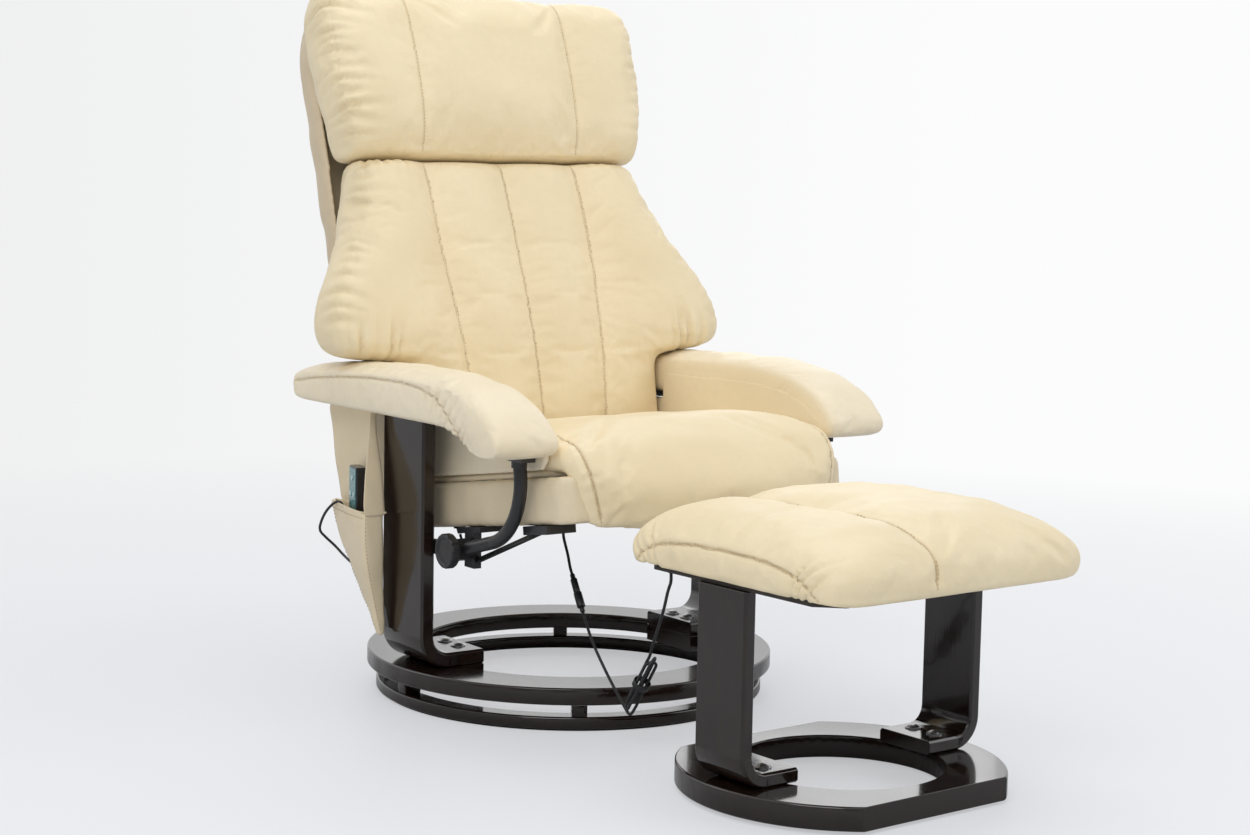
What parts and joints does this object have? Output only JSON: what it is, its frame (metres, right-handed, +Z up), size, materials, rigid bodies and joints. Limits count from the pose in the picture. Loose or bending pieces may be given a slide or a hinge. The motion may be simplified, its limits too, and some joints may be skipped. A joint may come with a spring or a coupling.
{
  "type": "swivel massage recliner with footstool",
  "caption": "Upholstered swivel recliner on a bentwood frame and ring base, with a headrest roll, padded arms, hanging pouch, corded handset and matching footstool.",
  "frame": {"origin": "the chair's swivel axis at the floor", "axes": "+Z up, the chair faces -Y, +X towards the arm without the pouch"},
  "size_m": [0.734, 1.3241, 1.0678],
  "materials": {
    "lacquered_wood": "glossy near-black lacquer",
    "board": "painted board",
    "foot_rubber": "matte",
    "nylon": "moulded",
    "bolt_steel": "dark zinc",
    "black_steel": "black powder coat",
    "black_plastic": "moulded",
    "cream_leather": "smooth, light grain",
    "rear_leather": "smooth, light grain",
    "webbing": "woven",
    "motor_case": "moulded",
    "handset_black": "glossy",
    "handset_face": "printed film",
    "handset_keys": "soft",
    "cord_sheath": "satin",
    "plug_plastic": "moulded"
  },
  "bodies": {
    "floor_base": {"floor_foot_ring": "foot_rubber", "floor_ring": "lacquered_wood", "ring_spacer_blocks": "lacquered_wood", "swivel_shoes": "nylon", "lead_tie": "plug_plastic", "stool_base": "lacquered_wood", "stool_glides": "foot_rubber", "stool_left_leg": "lacquered_wood", "stool_right_leg": "lacquered_wood", "stool_leg_bolts": "bolt_steel", "stool_deck": "board", "stool_pad": "cream_leather", "stool_motor": "motor_case", "stool_cord_gland": "black_plastic", "stool_lead": "cord_sheath"},
    "swivel_frame": {"swivel_ring": "lacquered_wood", "left_leg": "lacquered_wood", "right_leg": "lacquered_wood", "leg_bolts": "bolt_steel", "left_arm_plate": "black_steel", "right_arm_plate": "black_steel", "left_arm": "cream_leather", "right_arm": "cream_leather", "left_glide_tube": "black_steel", "right_glide_tube": "black_steel", "left_back_bracket": "black_steel", "right_back_bracket": "black_steel", "side_pouch": "rear_leather", "remote_lead_upper": "cord_sheath", "remote_lead_lower": "cord_sheath", "seat_lead": "cord_sheath", "lead_connector": "plug_plastic"},
    "backrest": {"back_frame": "black_steel", "back_webbing": "webbing", "lumbar_motor": "motor_case", "shoulder_motor": "motor_case", "back_shell": "rear_leather", "back_cushion": "cream_leather", "headrest": "cream_leather"},
    "seat": {"seat_box": "rear_leather", "seat_webbing": "webbing", "seat_cushion": "cream_leather", "seat_dust_cover": "webbing", "massage_controller": "black_plastic", "seat_motor": "motor_case", "seat_cord_gland": "black_plastic", "left_glide_bracket": "black_steel", "right_glide_bracket": "black_steel"},
    "knob": {"clamp_knob": "black_plastic"},
    "remote": {"remote_case": "handset_black", "remote_face": "handset_face"},
    "key_1": {"remote_key_1": "handset_keys"},
    "key_2": {"remote_key_2": "handset_keys"},
    "key_3": {"remote_key_3": "handset_keys"},
    "key_4": {"remote_key_4": "handset_keys"},
    "key_5": {"remote_key_5": "handset_keys"}
  },
  "joints": [
    {"name": "chair_swivel", "type": "hinge", "parent": "floor_base", "child": "swivel_frame", "pos_m": [0, 0, 0], "axis": [0, 0, 1], "continuous": true, "deforming": ["stool_lead"]},
    {"name": "backrest_recline", "type": "hinge", "parent": "swivel_frame", "child": "backrest", "pos_m": [0, 0.19948, 0.44626], "axis": [-1, 0, 0], "range_deg": [0, 30]},
    {"name": "seat_glide", "type": "slide", "parent": "swivel_frame", "child": "seat", "axis": [0, -0.9659, 0.2588], "range_m": [0, 0.0605], "deforming": ["seat_lead", "remote_lead_lower"]},
    {"name": "clamp_knob_turn", "type": "hinge", "parent": "seat", "child": "knob", "pos_m": [-0.28, -0.11546, 0.25114], "axis": [-1, 0, 0], "range_deg": [0, 270]},
    {"name": "remote_lift", "type": "slide", "parent": "swivel_frame", "child": "remote", "axis": [0, 0, 1], "range_m": [0, 0.08], "deforming": ["remote_lead_upper"]},
    {"name": "key_1_press", "type": "slide", "parent": "remote", "child": "key_1", "axis": [0.9703, -0.2419, 0], "range_m": [0, 0.001], "stiffness_N_per_m": 400},
    {"name": "key_2_press", "type": "slide", "parent": "remote", "child": "key_2", "axis": [0.9703, -0.2419, 0], "range_m": [0, 0.001], "stiffness_N_per_m": 400},
    {"name": "key_3_press", "type": "slide", "parent": "remote", "child": "key_3", "axis": [0.9703, -0.2419, 0], "range_m": [0, 0.001], "stiffness_N_per_m": 400},
    {"name": "key_4_press", "type": "slide", "parent": "remote", "child": "key_4", "axis": [0.9703, -0.2419, 0], "range_m": [0, 0.001], "stiffness_N_per_m": 400},
    {"name": "key_5_press", "type": "slide", "parent": "remote", "child": "key_5", "axis": [0.9703, -0.2419, 0], "range_m": [0, 0.001], "stiffness_N_per_m": 400}
  ],
  "couplings": [
    {"joint": "seat_glide", "follows": "backrest_recline", "m_per_rad": 0.1146}
  ]
}
